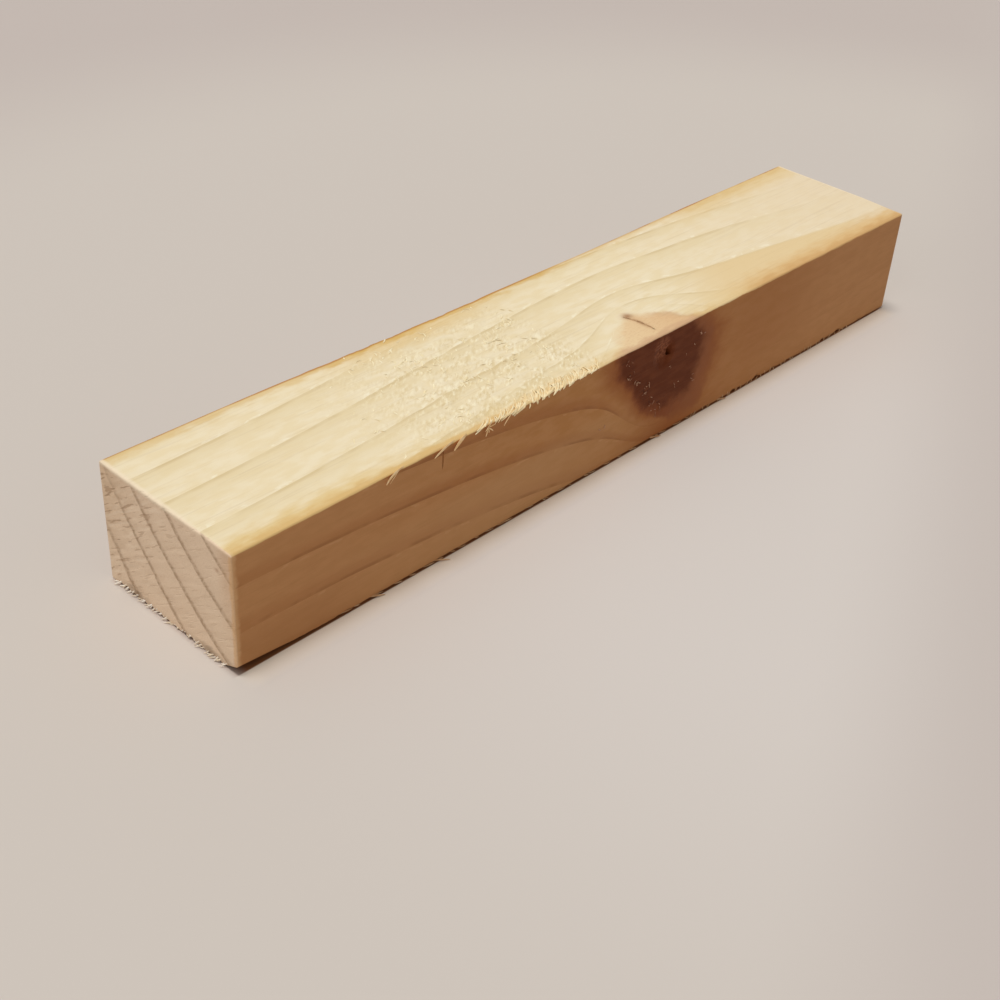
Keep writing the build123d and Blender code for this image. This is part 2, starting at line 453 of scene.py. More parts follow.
# %% The relief of each face
def top_relief(x, y):
    """Depth of the top face below its flat."""
    ring = late_wood(years(growth(x, y, TOP)) % 1)
    along, across = x * 0.77 + y * 0.64, y * 0.77 - x * 0.64
    tufts = 0.09 * cloud(along * 0.8, across * 1.7, seed=3)
    tufts = tufts + 0.1 * ease(cloud(x * 0.4, y * 0.7, seed=4), 0.45, 0.8)
    planed = 0.03 * cloud(x * 0.2, y * 2.0, seed=1)
    return wool(x) * tufts + planed - 0.006 * ring + top_check(x, y)


def front_relief(x, z):
    """Depth of the front face behind its flat."""
    from_pocket = ((x - KNOT_X + POCKET_FROM_PITH) ** 2 + (z - KNOT_Z) ** 2) / (POCKET_WIDTH / 2) ** 2
    pocket = POCKET_DEPTH * np.maximum(1 - from_pocket, 0)
    swirl = 0.12 * ease(from_pocket, 1.2, 0.4) * cloud(x * 2.2, z * 2.2, seed=5)
    reach = knot_reach(x, FRONT, z)
    rim = 0.12 * bump(reach, 0.93, 0.16) * cloud(x * 1.6, z * 1.6, seed=6)
    hairline = check_depth(z - FRONT_CHECK_Z, x - FRONT_CHECK_X, **FRONT_CHECK)
    return pocket + swirl + rim + hairline + 0.05 * cloud(x * 0.12, z * 3.0, seed=2)


def saw_strokes(y, z):
    """A point of an end as its distances along and across the saw's strokes."""
    along = z * math.sin(SAW_TILT) - y * math.cos(SAW_TILT)
    return along, z * math.cos(SAW_TILT) + y * math.sin(SAW_TILT)


def sawn_relief(y, z):
    """Depth of the saw's ripples and torn dashes on the near end, deepest towards the back."""
    along, across = saw_strokes(y, z)
    rough = 0.35 + 0.65 * ease(y, FRONT + 8, BACK - 3)
    ripples = 0.05 * cloud(along * 0.2, across * 1.6, seed=7)
    dashes = 0.1 * rough * ease(cloud(along * 0.45, across * 2.3, seed=8), 0.62, 0.84)
    return ripples + dashes


check_middle = top_check(TOP_CHECK_X + 0.2, TOP_CHECK_Y + TOP_CHECK["length"] / 2)
print(f"the check across the knot is {check_middle:.2f} mm deep at its middle")

# %% [markdown]
# ## The body
#
# A strip of wood is a rounded section run from end to end, so the sides are one grid: a loop of points
# round the section, repeated at stations along the strip. The stations crowd together where a detail is
# small and spread out elsewhere, which spends the triangles where they show. Each end is then filled with
# a triangulated sheet of its own points, joined to the last loop. A cube with a dozen modifiers could get
# close, but it would not put points where the checks and the chips need them.


# %% Section loop and stations
PLAIN_SPACING, END_EASE = 0.5, 0.18
CROWDED = (                                        # centre, reach and spacing of the closer stations
    (NEAR, 2.5, 0.22), (FRONT_CHECK_X, 0.4, 0.07), (NEAR + 48, 22.0, 0.36),
    (TOP_CHECK_X, 1.1, 0.11), (KNOT_X, 0.8, 0.14), (KNOT_X, 5.0, 0.3),
)


def arris_centre(corner_y, corner_z):
    """Middle of the small round that an arris is rubbed to."""
    return np.array([corner_y - math.copysign(ARRIS, corner_y), min(max(corner_z, ARRIS), TOP - ARRIS)])


def section_loop():
    """Points once round the section, each with the direction that faces out."""
    corners = ((BACK, TOP), (BACK, BOTTOM), (FRONT, BOTTOM), (FRONT, TOP))
    points, outward = [], []
    for number, spacing in enumerate((1.4, 0.42, 0.42, 0.35)):
        for angle in np.radians(90 - 90 * number - np.linspace(0, 90, 5)):
            outward.append((math.cos(angle), math.sin(angle)))
            points.append(arris_centre(*corners[number]) + ARRIS * np.array(outward[-1]))
        run_to = arris_centre(*corners[(number + 1) % 4]) + ARRIS * np.array(outward[-1])
        run_from = points[-1]
        steps = round(float(np.linalg.norm(run_to - run_from)) / spacing)
        for step in range(1, steps):
            points.append(run_from + (run_to - run_from) * step / steps)
            outward.append(outward[-1])
    return np.array(points), np.array(outward)


def stations(start, end):
    """Places along the strip, closer together at the near end, the wool, the checks and the pith."""
    fine = np.linspace(start, end, 30001)
    per_mm = np.full_like(fine, 1 / PLAIN_SPACING)
    for centre, reach, spacing in CROWDED:
        per_mm = np.maximum(per_mm, (np.abs(fine - centre) < reach) / spacing)
    passed = np.concatenate([[0], np.cumsum((per_mm[1:] + per_mm[:-1]) / 2 * np.diff(fine))])
    return np.interp(np.linspace(0, passed[-1], round(float(passed[-1])) + 1), passed, fine)


loop, loop_out = section_loop()
print(f"{len(loop)} points round the section")


# %% The sides
def side_grid():
    """The sides as an array of points: stations by loop points by coordinates."""
    soft = np.clip((BACK - ARRIS - np.abs(loop[:, 0])) / 1.5, 0, 1) * np.clip(loop_out[:, 1], 0, 1)
    eased = END_EASE + 0.1 * soft
    turns = np.radians((0, 30, 60, 90))
    rows = [(NEAR + eased * (1 - math.cos(turn)), eased * (1 - math.sin(turn))) for turn in turns]
    rows += [(np.full(len(loop), place), np.zeros(len(loop))) for place in stations(NEAR + 0.8, FAR - 0.7)]
    rows += [(FAR - eased * (1 - math.cos(turn)), eased * (1 - math.sin(turn))) for turn in turns[::-1]]
    x = np.array([row[0] for row in rows])
    section = loop - np.array([row[1] for row in rows])[:, :, None] * loop_out
    return np.dstack([x, section])


def shape(points, outward):
    """Slide points between the underside and the top, then press in the relief of each long face."""
    x, y, z = (points[..., axis] for axis in range(3))
    bottom, top = ground(x, y), ceiling(x, y)
    z = bottom + (z - BOTTOM) / (TOP - BOTTOM) * (top - bottom)
    up, forward = np.clip(outward[..., 1], 0, 1), np.clip(-outward[..., 0], 0, 1)
    from_end = np.minimum(share(x, NEAR, NEAR + 1.0), share(x, FAR, FAR - 1.0))
    depth = from_end * (up * top_relief(x, y) + forward * front_relief(x, z))
    y, z = y - depth * outward[..., 0], z - depth * outward[..., 1]
    off_pith = np.hypot(x - KNOT_X, (z - KNOT_Z) * math.cos(DIVE)) / (PITH_DIAMETER / 2)
    bore = PITH_DEPTH * forward * np.clip(1 - off_pith, 0, 1)
    return np.stack([x, y + bore * math.cos(DIVE), z - bore * math.sin(DIVE)], axis=-1)


sides = side_grid()
print(f"{sides.shape[0]} stations, {2 * (sides.shape[0] - 1) * sides.shape[1]} triangles on the sides")


# %% The ends
def end_sheet(rim, spacing, seed):
    """Triangles that fill a rim of (y, z) points, as all the points and the faces between them."""
    random = np.random.default_rng(seed)
    grid_y, grid_z = np.meshgrid(np.arange(FRONT, BACK, spacing), np.arange(BOTTOM, TOP, spacing * 0.87))
    grid_y = grid_y + spacing / 2 * (np.arange(len(grid_z)) % 2)[:, None]
    inner = np.stack([grid_y.ravel(), grid_z.ravel()], axis=1)
    inner = inner + random.uniform(-0.15, 0.15, inner.shape) * spacing
    clear = 0.5 + spacing * 0.4
    inner = inner[(np.abs(inner[:, 0]) < BACK - clear) & (np.abs(inner[:, 1] - TOP / 2) < TOP / 2 - clear)]
    every = [Vector(point) for point in np.vstack([rim, inner])]
    edges = [(index, (index + 1) % len(rim)) for index in range(len(rim))]
    _, _, faces, came_from, _, _ = delaunay_2d_cdt(every, edges, [], 1, 1e-5)
    order = [sources[0] for sources in came_from]
    return np.array(every)[:, :2], [[order[corner] for corner in face] for face in faces]


def end_points(sheet, rim_count, place, relief):
    """Lift the inner points of an end into space: slid like the sides, and sunk by the relief."""
    y, z = sheet[rim_count:, 0], sheet[rim_count:, 1]
    x = np.full(len(y), place)
    bottom, top = ground(x, y), ceiling(x, y)
    z = bottom + (z - BOTTOM) / (TOP - BOTTOM) * (top - bottom)
    return np.stack([x + math.copysign(1, -place) * relief(y, z), y, z], axis=1)


def far_relief(y, z):
    """The far end was cut cleanly: only fine ripples."""
    return 0.08 * cloud(y * 0.3 + z * 0.2, z * 1.6 - y * 0.5, seed=9)


def make_body():
    """Join the sides and both ends into one closed mesh."""
    count = sides.shape[1]
    last = (sides.shape[0] - 1) * count
    near_sheet, near_faces = end_sheet(sides[0, :, 1:], 0.33, 11)
    far_sheet, far_faces = end_sheet(sides[-1, :, 1:], 0.6, 12)
    points = np.vstack([
        shape(sides, np.broadcast_to(loop_out, sides.shape[:2] + (2,))).reshape(-1, 3),
        end_points(near_sheet, count, NEAR, sawn_relief),
        end_points(far_sheet, count, FAR, far_relief),
    ])
    near_start = last + count
    far_start = near_start + len(near_sheet) - count
    here = np.arange(last).reshape(-1, count)
    after = np.roll(here, -1, axis=1)
    faces = np.stack([here, here + count, after + count, after], axis=-1).reshape(-1, 4).tolist()
    for face in near_faces:
        faces.append([corner if corner < count else corner - count + near_start for corner in face])
    for face in far_faces:
        faces.append([corner + last if corner < count else corner - count + far_start for corner in face])
    return mesh_object("strip_body", points, faces, sharp_angle=35)


def mesh_object(name, points, faces, sharp_angle=180):
    """Make an object from points in mm, with its faces turned outwards and shaded smooth."""
    mesh = bpy.data.meshes.new(name)
    mesh.from_pydata((np.asarray(points) * MM).tolist(), [], faces)
    mesh.validate()
    made = bpy.data.objects.new(name, mesh)
    bpy.context.scene.collection.objects.link(made)
    build = bmesh.new()
    build.from_mesh(mesh)
    bmesh.ops.recalc_face_normals(build, faces=build.faces)
    build.to_mesh(mesh)
    build.free()
    mesh.shade_smooth()
    if sharp_angle < 180:
        mesh.set_sharp_from_angle(angle=math.radians(sharp_angle))
    return made


body = make_body()
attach(body, "root")
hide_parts("wooden_strip")
print(f"body: {len(body.data.polygons)} faces")

# %% [markdown]
# ## The finish
#
# Bare wood needs one material, but three palettes. The top was planed last and is pale and yellow, with
# gold where the planer hardly touched it. The other long faces are older and have darkened to a warm
# brown. The sawn ends are greyer, because there we look into the cut tubes of the wood. A picture of wood
# wrapped on the box would break at every arris, so each palette reads the same ring field instead, and a
# ring that leaves one face goes on round the arris into the next.
#
# A palette is built as a painter glazes: a ground colour, then one thin coat after another, each with a
# mask that says where it lies and how strong it is.


# %% Materials from nodes
def tone(red, green, blue):
    """A colour given as it looks on screen, from 0 to 255, as the light values a shader needs."""
    parts = [value / 255 for value in (red, green, blue)]
    return (*(part / 12.92 if part < 0.04045 else ((part + 0.055) / 1.055) ** 2.4 for part in parts), 1.0)


class Finish:
    """A material under construction, with one short way to add any node to it."""

    def __init__(self, name, roughness):
        self.material = bpy.data.materials.new(name)
        self.material.use_nodes = True
        self.tree = self.material.node_tree
        self.shader = self.tree.nodes["Principled BSDF"]
        self.shader.inputs["Roughness"].default_value = roughness
        self.shader.inputs["Specular IOR Level"].default_value = 0.12

    def node(self, kind, settings=None, sockets=None, output=0):
        """Add a node: its settings first, then values or links for its sockets; returns one output."""
        made = self.tree.nodes.new("ShaderNode" + kind)
        for name, setting in (settings or {}).items():
            setattr(made, name, setting)
        for name, term in (sockets or {}).items():
            feed(self.tree, made.inputs[name], term)
        return Value(self.tree, made.outputs[output])

    def mix(self, amount, first, second):
        """The first colour where the amount is 0, and the second where it is 1."""
        return self.node("Mix", {"data_type": "RGBA"}, {0: amount, 6: first, 7: second}, output=2)

    def coats(self, colour, *layers):
        """A ground colour under coats, each given as its mask and its own colour."""
        for mask, coat in layers:
            colour = self.mix(mask, colour, coat)
        return colour

    def noise(self, x, y, z, detail=2.0):
        """Smooth noise around one half that changes over a distance of 1."""
        place = self.node("CombineXYZ", sockets={0: x, 1: y, 2: z})
        return self.node("TexNoise", sockets={"Vector": place, "Scale": 1.0, "Detail": detail})

    def place(self):
        """The point being shaded, in mm along the three axes of the strip."""
        point = self.node("TexCoord", output="Object")
        parts = self.node("SeparateXYZ", sockets={0: point})
        return [Value(self.tree, socket) / MM for socket in parts.socket.node.outputs]


print("wood at noon would be", [round(value, 2) for value in tone(235, 218, 182)[:3]])


# %% The grain at a point
class Grain:
    """What the palettes share about the point being shaded: its place, its ring and its noises."""

    def __init__(self, wood):
        x, y, z = self.place = wood.place()
        self.grown = growth(x, y, z)
        age = years(self.grown)
        self.phase = age - whole(age)
        self.streaks = wood.noise(x * 0.07, y * 3.5, z * 3.5, detail=3.0)
        self.mottle = wood.noise(x * 0.3, y * 0.8, z * 0.8, detail=4.0)
        self.fine = wood.noise(x * 1.2, y * 6.0, z * 6.0)
        self.broken = wood.noise(x * 0.16, age * 1.3, z * 0.1, detail=3.0)
        wander = wood.noise(x * 0.5, y * 0.5, z * 0.5, detail=3.0) - 0.5
        self.reach = knot_reach(x, y, z) + wander * 0.3
        clear_of_knot = ease(self.reach, 1.05, 1.5)
        self.line = ease(self.phase, 0.88, 0.96) * clear_of_knot
        self.band = ease(self.phase, 0.35, 0.97) * clear_of_knot
        self.fleck = bump(self.phase, 0.04, 0.05) * ease(wood.noise(x * 0.5, age * 6.0, z), 0.56, 0.66)


wood = Finish("softwood", roughness=0.6)
grain = Grain(wood)
print(f"grain: {len(wood.tree.nodes)} nodes")

# %% [markdown]
# ### The planed top
#
# The ground is nearly white, with a pale band and a thin broken line for each ring, which fade towards
# the far end. The fuzz is noise stretched along the way the grain tore. Its high parts are painted paler,
# partly for the pale fibres and partly as painted highlight, and its low parts darker, as painted shade.
# The planer hardly touched the edges, so coats of gold deepen towards them, and the rubbed back edge is
# the darkest. The knot shows only as a pinker patch up here.


# %% The planed top
def torn_fuzz(x, y, z):
    """Where the grain tore up, and the fuzz that stands there."""
    patches = wood.noise(x * 0.25, y * 0.4, 3.0, detail=1.0)
    fuzz = wood.noise(x * 0.7 + y * 0.58, y * 1.7 - x * 1.4, z * 0.3, detail=3.0)
    return wool(x) * ease(patches, 0.36, 0.56) * (0.35 + 0.65 * share(y, BACK - 1, FRONT + 7)), fuzz


def gold_coats(x, y, from_front, from_back):
    """Gold from its broad inner patch to the deep lines at the very edges."""
    past_knot = ease(x, KNOT_X + 15, KNOT_X + 25)
    inner = ease(grain.grown, YEAR_ENDS[3] + 0.2, YEAR_ENDS[3] - 0.3) * fade(x, KNOT_X + 50, KNOT_X + 64)
    inner = inner * ease(x - KNOT_X + FRONT + 5.0 - y, 5, 23)
    back = (bump(x, NEAR + 54, 14.0) + ease(x, KNOT_X + 26, KNOT_X + 40) * 0.85) * fade(from_back, 2.3, 6.0)
    near = fade(from_front, 1.1, 4.0) * (1.0 - ease(x, NEAR + 14, NEAR + 42) * 0.7) * (1.0 - past_knot)
    front_edge = fade(from_front, 0.4, 1.8) * (0.9 - bump(x, NEAR + 61, 12.0) * 0.6)
    front_edge = front_edge * (1.0 - 0.8 * bump(x, KNOT_X + 15, 6.0))
    far_half = ease(x, KNOT_X - 4, KNOT_X + 8)
    back_edge = fade(from_back, 0.6, 2.4) * (0.45 + 0.45 * ease(x, NEAR + 30, NEAR + 42) - 0.5 * far_half)
    rubbed = ease(y, BACK - rub_width(x) - 0.55, BACK - rub_width(x) - 0.15)
    return (
        (inner * 0.85, tone(230, 202, 152)),
        (back * 0.85, tone(229, 200, 146)),
        (near * 0.9, tone(228, 199, 141)),
        (fade(from_front, 1.2, 4.6) * past_knot, tone(224, 187, 131)),
        (front_edge, wood.mix(past_knot, tone(219, 181, 118), tone(213, 169, 111))),
        (back_edge, tone(216, 174, 94)),
        (rubbed * (0.85 - 0.5 * ease(x, KNOT_X - 10, KNOT_X + 4)), tone(186, 128, 66)),
    )


def knot_from_above(x, from_front):
    """The knot on the top: a little pinker than the wood, with a darker right rim and front edge."""
    return wood.coats(
        tone(233, 203, 158),
        (ease(x, KNOT_X - 8, KNOT_X + 5), tone(225, 187, 141)),
        (ease(grain.fine, 0.5, 0.65) * 0.3, tone(210, 166, 124)),
        (bump(grain.reach, 0.97, 0.07) * ease(x, KNOT_X, KNOT_X + 3), tone(206, 162, 114)),
        (fade(from_front, 0.2, 1.6) * 0.7, tone(206, 164, 126)),
    )


def dark_along_check(x, y):
    """Darker along the check across the knot, and a darker blot at its back tip."""
    along = bump(x, KNOT_X - 2.0, 0.45) * bump(y, FRONT + 4.6, 2.0) * 0.55
    return larger(along, bump(x, KNOT_X - 2.0, 0.9) * bump(y, FRONT + 7.4, 0.8) * 0.75)


def planed_top(x, y, z):
    """Colour of the planed top, and the fuzz that also lifts its surface."""
    from_front = y - FRONT + (grain.mottle - 0.5) * 3.0
    from_back = BACK - y + (grain.mottle - 0.5) * 3.0
    fading = 1.0 - ease(x, KNOT_X + 20, FAR) * 0.9
    woolly, fuzz = torn_fuzz(x, y, z)
    colour = wood.coats(
        tone(236, 217, 177),
        (ease(grain.mottle, 0.34, 0.66), tone(240, 224, 190)),
        (share(x, KNOT_X + 10, FAR) * 0.7, tone(233, 212, 179)),
        (grain.band * fading * 0.6, tone(228, 207, 162)),
        (grain.line * ease(grain.broken, 0.35, 0.62) * fading * 0.4, tone(202, 175, 124)),
        (grain.fleck * fading * 0.55, tone(252, 243, 216)),
        # The high fuzz is painted paler, partly for its pale raised fibres and partly as painted highlight;
        # the low fuzz is painted darker, as painted shade between the tufts.
        (ease(fuzz, 0.53, 0.64) * woolly * 0.75, tone(252, 240, 206)),
        (ease(fuzz, 0.47, 0.38) * woolly * 0.6, tone(218, 194, 144)),
        *gold_coats(x, y, from_front, from_back),
        (fade(grain.reach, 0.85, 1.1), knot_from_above(x, from_front)),
        (dark_along_check(x, y), tone(152, 96, 56)),
    )
    return colour, woolly * fuzz


planed, fuzz_relief = planed_top(*grain.place)
print(f"with the planed top: {len(wood.tree.nodes)} nodes")

# %% [markdown]
# ### The aged sides
#
# Years of air turned the other faces brown, warmest round the knot. The knot has a soft rim that is paler
# on its right, a heart that is nearly black-brown, and scuffed fibres where the hollow was torn out. The
# worn bevel under the front face is painted dark as far as the knot, as painted shade for the gap over the
# bench. Past the knot this painted shade stays only in the tears.


# %% The aged sides
def aged_wood(x, z):
    """The brown wood with its rings and broad patches, up to the warm halo round the knot."""
    plain = 1.0 - ease(x, KNOT_X + 5, KNOT_X + 16) * 0.9
    rings = ease(grain.band, 0.3, 1.0) * plain * (0.36 + 0.24 * ease(x, NEAR + 18, NEAR + 46))
    grey = bump(x, NEAR + 50, 26.0) * fade(z, 7.5, 11.5)
    low_near = fade(z, 4.0, 8.0) * fade(x, NEAR + 12, NEAR + 24)
    past_knot = bump(x, KNOT_X + 24.0, 16.0) * (0.6 + 0.4 * ease(z, 3.0, 9.0))
    below_knot = bump(x, KNOT_X + 3.0, 10.5) * fade(z, 1.0, 8.0)
    return wood.coats(
        tone(190, 133, 78),
        (ease(size(x - KNOT_X + 12.0), 10, 60), tone(194, 140, 90)),
        (ease(grain.mottle, 0.35, 0.65) * 0.5, tone(203, 148, 98)),
        (rings, tone(172, 110, 62)),
        (grey * 0.6, tone(200, 152, 104)),
        (low_near * 0.35, tone(172, 116, 70)),
        (grain.line * plain * ease(grain.broken, 0.4, 0.62) * 0.35, tone(130, 76, 42)),
        (grain.fleck * plain * 0.2, tone(226, 180, 132)),
        (past_knot * 0.5, tone(170, 108, 58)),
        (larger(fade(grain.reach, 0.95, 1.5) * 0.8, below_knot * 0.85), tone(158, 90, 42)),
    )


def knot_coats(x, y, z):
    """The knot in the front face: its rim, and inside that its dark heart."""
    right = ease(x, KNOT_X - 2, KNOT_X + 9)
    low = bump(x, KNOT_X + 2.0, 9.0) * fade(z, 3.0, 9.0)
    rim = fade(grain.reach - low * 0.12, 0.9, 1.06 + right * 0.12)
    core = fade(grain.reach, 0.8 - right * 0.18, 0.98 - right * 0.04)
    specks = wood.noise(x * 1.9, z * 1.9, y, detail=1.0)
    specks = ease(specks, 0.64, 0.7) * ease(grain.reach, 0.5, 0.8) * (1.0 - right)
    scuffs = wood.noise(x * 1.6 + z * 1.1, z * 2.6 - x * 1.8, y, detail=2.0)
    across, up = x - KNOT_X + 1.9, z - KNOT_Z - 0.9
    scuffs = fade(root(across * across + up * up), 1.3, 2.7) * ease(scuffs, 0.42, 0.6)
    heart = wood.coats(
        tone(103, 46, 13),
        (ease(grain.mottle, 0.42, 0.66) * 0.5, tone(124, 64, 32)),
        (specks * 0.7, tone(66, 26, 10)),
        (scuffs * 0.6, tone(164, 100, 66)),
    )
    return (rim * 0.85, wood.mix(right, tone(136, 72, 38), tone(152, 92, 56))), (core, heart)


def painted_gap_shade(x, y, z):
    """Painted shade on the worn bevel as far as the knot, for the dark gap over the bench, and past it only
    in the tears.
    """
    bevel_top = larger(worn_edge(x), KNOCK_HEIGHT * (1.0 - (x - NEAR) / KNOCK_LENGTH))
    above_bevel = z - bevel_top + (grain.streaks - 0.5) * 0.5 + (grain.broken - 0.5) * 0.7
    bevel = fade(above_bevel, -0.15, 0.03) * fade(y, FRONT + 2.2, FRONT + 3.2)
    gaps = wood.noise(x * 0.4, z * 0.5, 0.0, detail=4.0)
    tears = fade(above_bevel, 0.05, 0.5) * ease(gaps, 0.5, 0.58)
    kept = 1.0 - ease(x, KNOT_X + 2, KNOT_X + 12) * 0.9
    return larger(bevel * kept, tears * (1.0 - kept) * 0.6) * 0.82


def aged_side(x, y, z):
    """Colour of the aged sides and the underside."""
    # The worn bevel and the tears are painted dark brown, as painted shade of the gap under the front edge.
    return wood.coats(aged_wood(x, z), *knot_coats(x, y, z), (painted_gap_shade(x, y, z), tone(56, 30, 16)))


aged = aged_side(*grain.place)
print(f"with the aged sides: {len(wood.tree.nodes)} nodes")

# %% [markdown]
# ### The sawn ends
#
# End wood drinks the light. Its rings are soft beaded bands, and the saw dragged torn dashes up towards
# the front, most of them near the upper back corner, where the blade went in.


# %% The sawn ends
def sawn_end(x, y, z):
    """Colour of the sawn ends, and the dashes that are also cut into the surface."""
    along, across = saw_strokes(y, z)
    dashes = wood.noise(along * 0.3, across * 1.9, x * 0.2, detail=2.0)
    beads = wood.noise(along * 1.3, across * 2.0, x, detail=1.0)
    rough = 0.15 + 0.85 * ease(y + z * 0.6, FRONT + 16, BACK + 7)
    upper_back = ease(y + z * 0.5, BACK - 2, BACK + 9)
    wobble = grain.phase + (dashes - 0.5) * 0.07
    ring = ease(wobble, 0.79, 0.93) * fade(wobble, 0.95, 1.0) * (0.5 + 0.5 * ease(beads, 0.38, 0.6))
    ring = ring * (1.0 - 0.8 * upper_back)
    front_rim = fade(y, FRONT + 0.8, FRONT + 3.5) * ease(z, 0.0, TOP)
    speck = bump(y, FRONT + 3.0, 0.4) * bump(z, TOP - 4.0, 0.3)
    colour = wood.coats(
        tone(235, 207, 176),
        (ease(grain.fine, 0.35, 0.65), tone(241, 214, 185)),
        # Painted highlight: the wood between the torn dashes is painted paler.
        (ease(dashes, 0.47, 0.36) * rough * 0.35, tone(250, 231, 206)),
        (upper_back * 0.45, tone(214, 180, 142)),
        (ease(grain.phase, 0.4, 0.9) * 0.1 + ring * 0.58, tone(156, 122, 90)),
        # Painted shade: the torn dashes are painted darker, where they are also cut into the surface.
        (ease(dashes, 0.57, 0.66) * rough * 0.6, tone(166, 130, 98)),
        (front_rim * 0.5, tone(210, 168, 130)),
        (speck * 0.6, tone(176, 134, 104)),
    )
    return colour, dashes


sawn, saw_dashes = sawn_end(*grain.place)
print(f"with the sawn ends: {len(wood.tree.nodes)} nodes")

# %% [markdown]
# ### One material
#
# Where the palettes meet is measured from the cut shape itself: the top begins at the ceiling's height,
# with a wandering line past the knot, and the ends begin a fraction of a millimetre from the box. Three
# separate materials would need faces cut along those lines. The upper lip of each end gets a pale coat,
# partly a painted highlight, the rubbed corner gets a coat of its own, and the chips get painted shade,
# and the same noises press a fine grain into the surface.


# %% One material
def chip_shade_and_patches(x, y, z, at_end):
    """Painted shade in the chips under the near end, and two darker patches above them."""
    chips = ease(x, NEAR + 0.04, NEAR + 0.12) * fade(x, NEAR + 0.9, NEAR + 1.4) * fade(z, 0.8, 1.1)
    chips = chips * ease(y, FRONT + 2.0, FRONT + 3.5) * fade(y, BACK - 1.5, BACK - 0.8)
    dark_patches = bump(y, FRONT + 5.5, 2.4) + bump(y, BACK - 5.5, 2.4) * 0.9
    dark_patches = at_end * fade(z + (saw_dashes - 0.5) * 1.5, 0.9, 1.6) * dark_patches
    return larger(chips * 0.3, dark_patches * 0.5)


def join_palettes(x, y, z):
    """Feed the shader with the three palettes, told apart by where the point is."""
    wander = (grain.mottle - 0.5) * 0.3 + (grain.broken - 0.5) * 0.9 * ease(x, KNOT_X + 6, KNOT_X + 12)
    below_top = z - ceiling(x, y) + wander
    inside = ease(smaller(y - FRONT, BACK - y), 0.35, 1.0)
    on_top = ease(below_top + inside * 0.8 - ease(y, 0.0, BACK) * 0.18, -0.3, -0.16)
    from_end = smaller(x - NEAR, FAR - x)
    at_end = fade(from_end, 0.1, 0.3)
    lip = ease(below_top + (saw_dashes - 0.5) * 0.6, -0.8, -0.2) * fade(from_end, 0.3, 0.8)
    corner = root((x - NEAR) * (x - NEAR) + (y - FRONT) * (y - FRONT)) + (grain.mottle - 0.5) * 1.2
    colour = wood.coats(
        aged,
        (on_top, planed),
        (at_end, sawn),
        # The upper lip of each end is painted pale: partly its crushed whitish fibres, partly a painted
        # highlight where the rounded edge turns up to the lamp.
        (lip * (0.75 - 0.6 * ease(y, 0.0, FRONT + 3)), tone(243, 224, 194)),
        (fade(corner, 0.25, 0.95) * (1.0 - on_top) * 0.7, tone(224, 178, 128)),
        # The chips are painted darker, as painted shade in them, and two patches above them are darker too.
        (chip_shade_and_patches(x, y, z, at_end), tone(104, 78, 54)),
        (ease(grain.streaks, 0.5, 0.75) * 0.1, tone(150, 100, 60)),
    )
    feed(wood.tree, wood.shader.inputs["Base Color"], colour)
    height = grain.fine * 0.4 + grain.streaks * 0.6 + fuzz_relief * on_top * 4.0
    height = height - at_end * ease(saw_dashes, 0.55, 0.68) * 1.2
    relief = wood.node("Bump", sockets={"Strength": 0.4, "Distance": 0.0001, "Height": height})
    feed(wood.tree, wood.shader.inputs["Normal"], relief)


join_palettes(*grain.place)
body.data.materials.append(wood.material)
print(f"wood: {len(wood.tree.nodes)} nodes")

# %% [markdown]
# ## Torn fibres
#
# Softwood does not cut cleanly everywhere. Where the grain rises against the planer it lifts as wool, and
# where a blade leaves the wood it bends the last fibres over the edge as a fringe. A bristle brush of
# particles would also do, but the fibres here lie flat, curl and hang in particular places, so each one
# is a path of its own: a few points that a small tapered tube with four sides is wrapped round.


# %% How a strand is made
def strands(name, paths, half_width, facing, flat=0.6):
    """One piece made of closed tubes along paths, widest in the middle and fine at the tips."""
    paths = np.asarray(paths, dtype=float)
    count, steps = paths.shape[:2]
    along = np.gradient(paths, axis=1)
    side = np.cross(along, facing)
    side /= np.linalg.norm(side, axis=2, keepdims=True)
    over = np.cross(side, along)
    over /= np.linalg.norm(over, axis=2, keepdims=True)
    taper = np.sin(np.linspace(0.12, 0.95, steps) * math.pi) ** 0.6
    half = np.broadcast_to(half_width, count)[:, None, None] * taper[None, :, None]
    ring = np.stack([side * half, over * half * flat, -side * half, -over * half * flat], axis=2)
    points = (paths[:, :, None] + ring).reshape(-1, 3)
    first = 4 * steps * np.arange(count)[:, None, None, None]
    step = 4 * np.arange(steps - 1)[None, :, None, None]
    corner = np.arange(4)[None, None, :, None]
    turned = (corner + 1) % 4
    walls = np.concatenate([corner, turned, turned + 4, corner + 4], axis=3) + first + step
    caps = np.array([[3, 2, 1, 0], [4 * steps - 4, 4 * steps - 3, 4 * steps - 2, 4 * steps - 1]])
    caps = caps[None] + first[:, 0]
    faces = np.concatenate([walls.reshape(-1, 4), caps.reshape(-1, 4)]).tolist()
    piece = mesh_object(name, points, faces, sharp_angle=25)
    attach(piece, "root")
    print(f"{name}: {count} strands, {2 * len(faces)} triangles")
    return piece


def bend(start, middle, end, steps=6):
    """Points along a smooth bend that leaves start towards middle and arrives at end."""
    part = np.linspace(0, 1, steps)[:, None]
    start, middle, end = (np.asarray(point, dtype=float) for point in (start, middle, end))
    return (1 - part) ** 2 * start + 2 * part * (1 - part) * middle + part ** 2 * end


def fibre_finish(name, pale, deep):
    """Torn fibre: two shades of one colour, in short lengths."""
    fibre = Finish(name, roughness=0.75)
    x, y, z = fibre.place()
    shade = ease(fibre.noise(x * 0.7, y * 1.6, z * 1.6), 0.35, 0.65)
    feed(fibre.tree, fibre.shader.inputs["Base Color"], fibre.mix(shade, pale, deep))
    return fibre.material


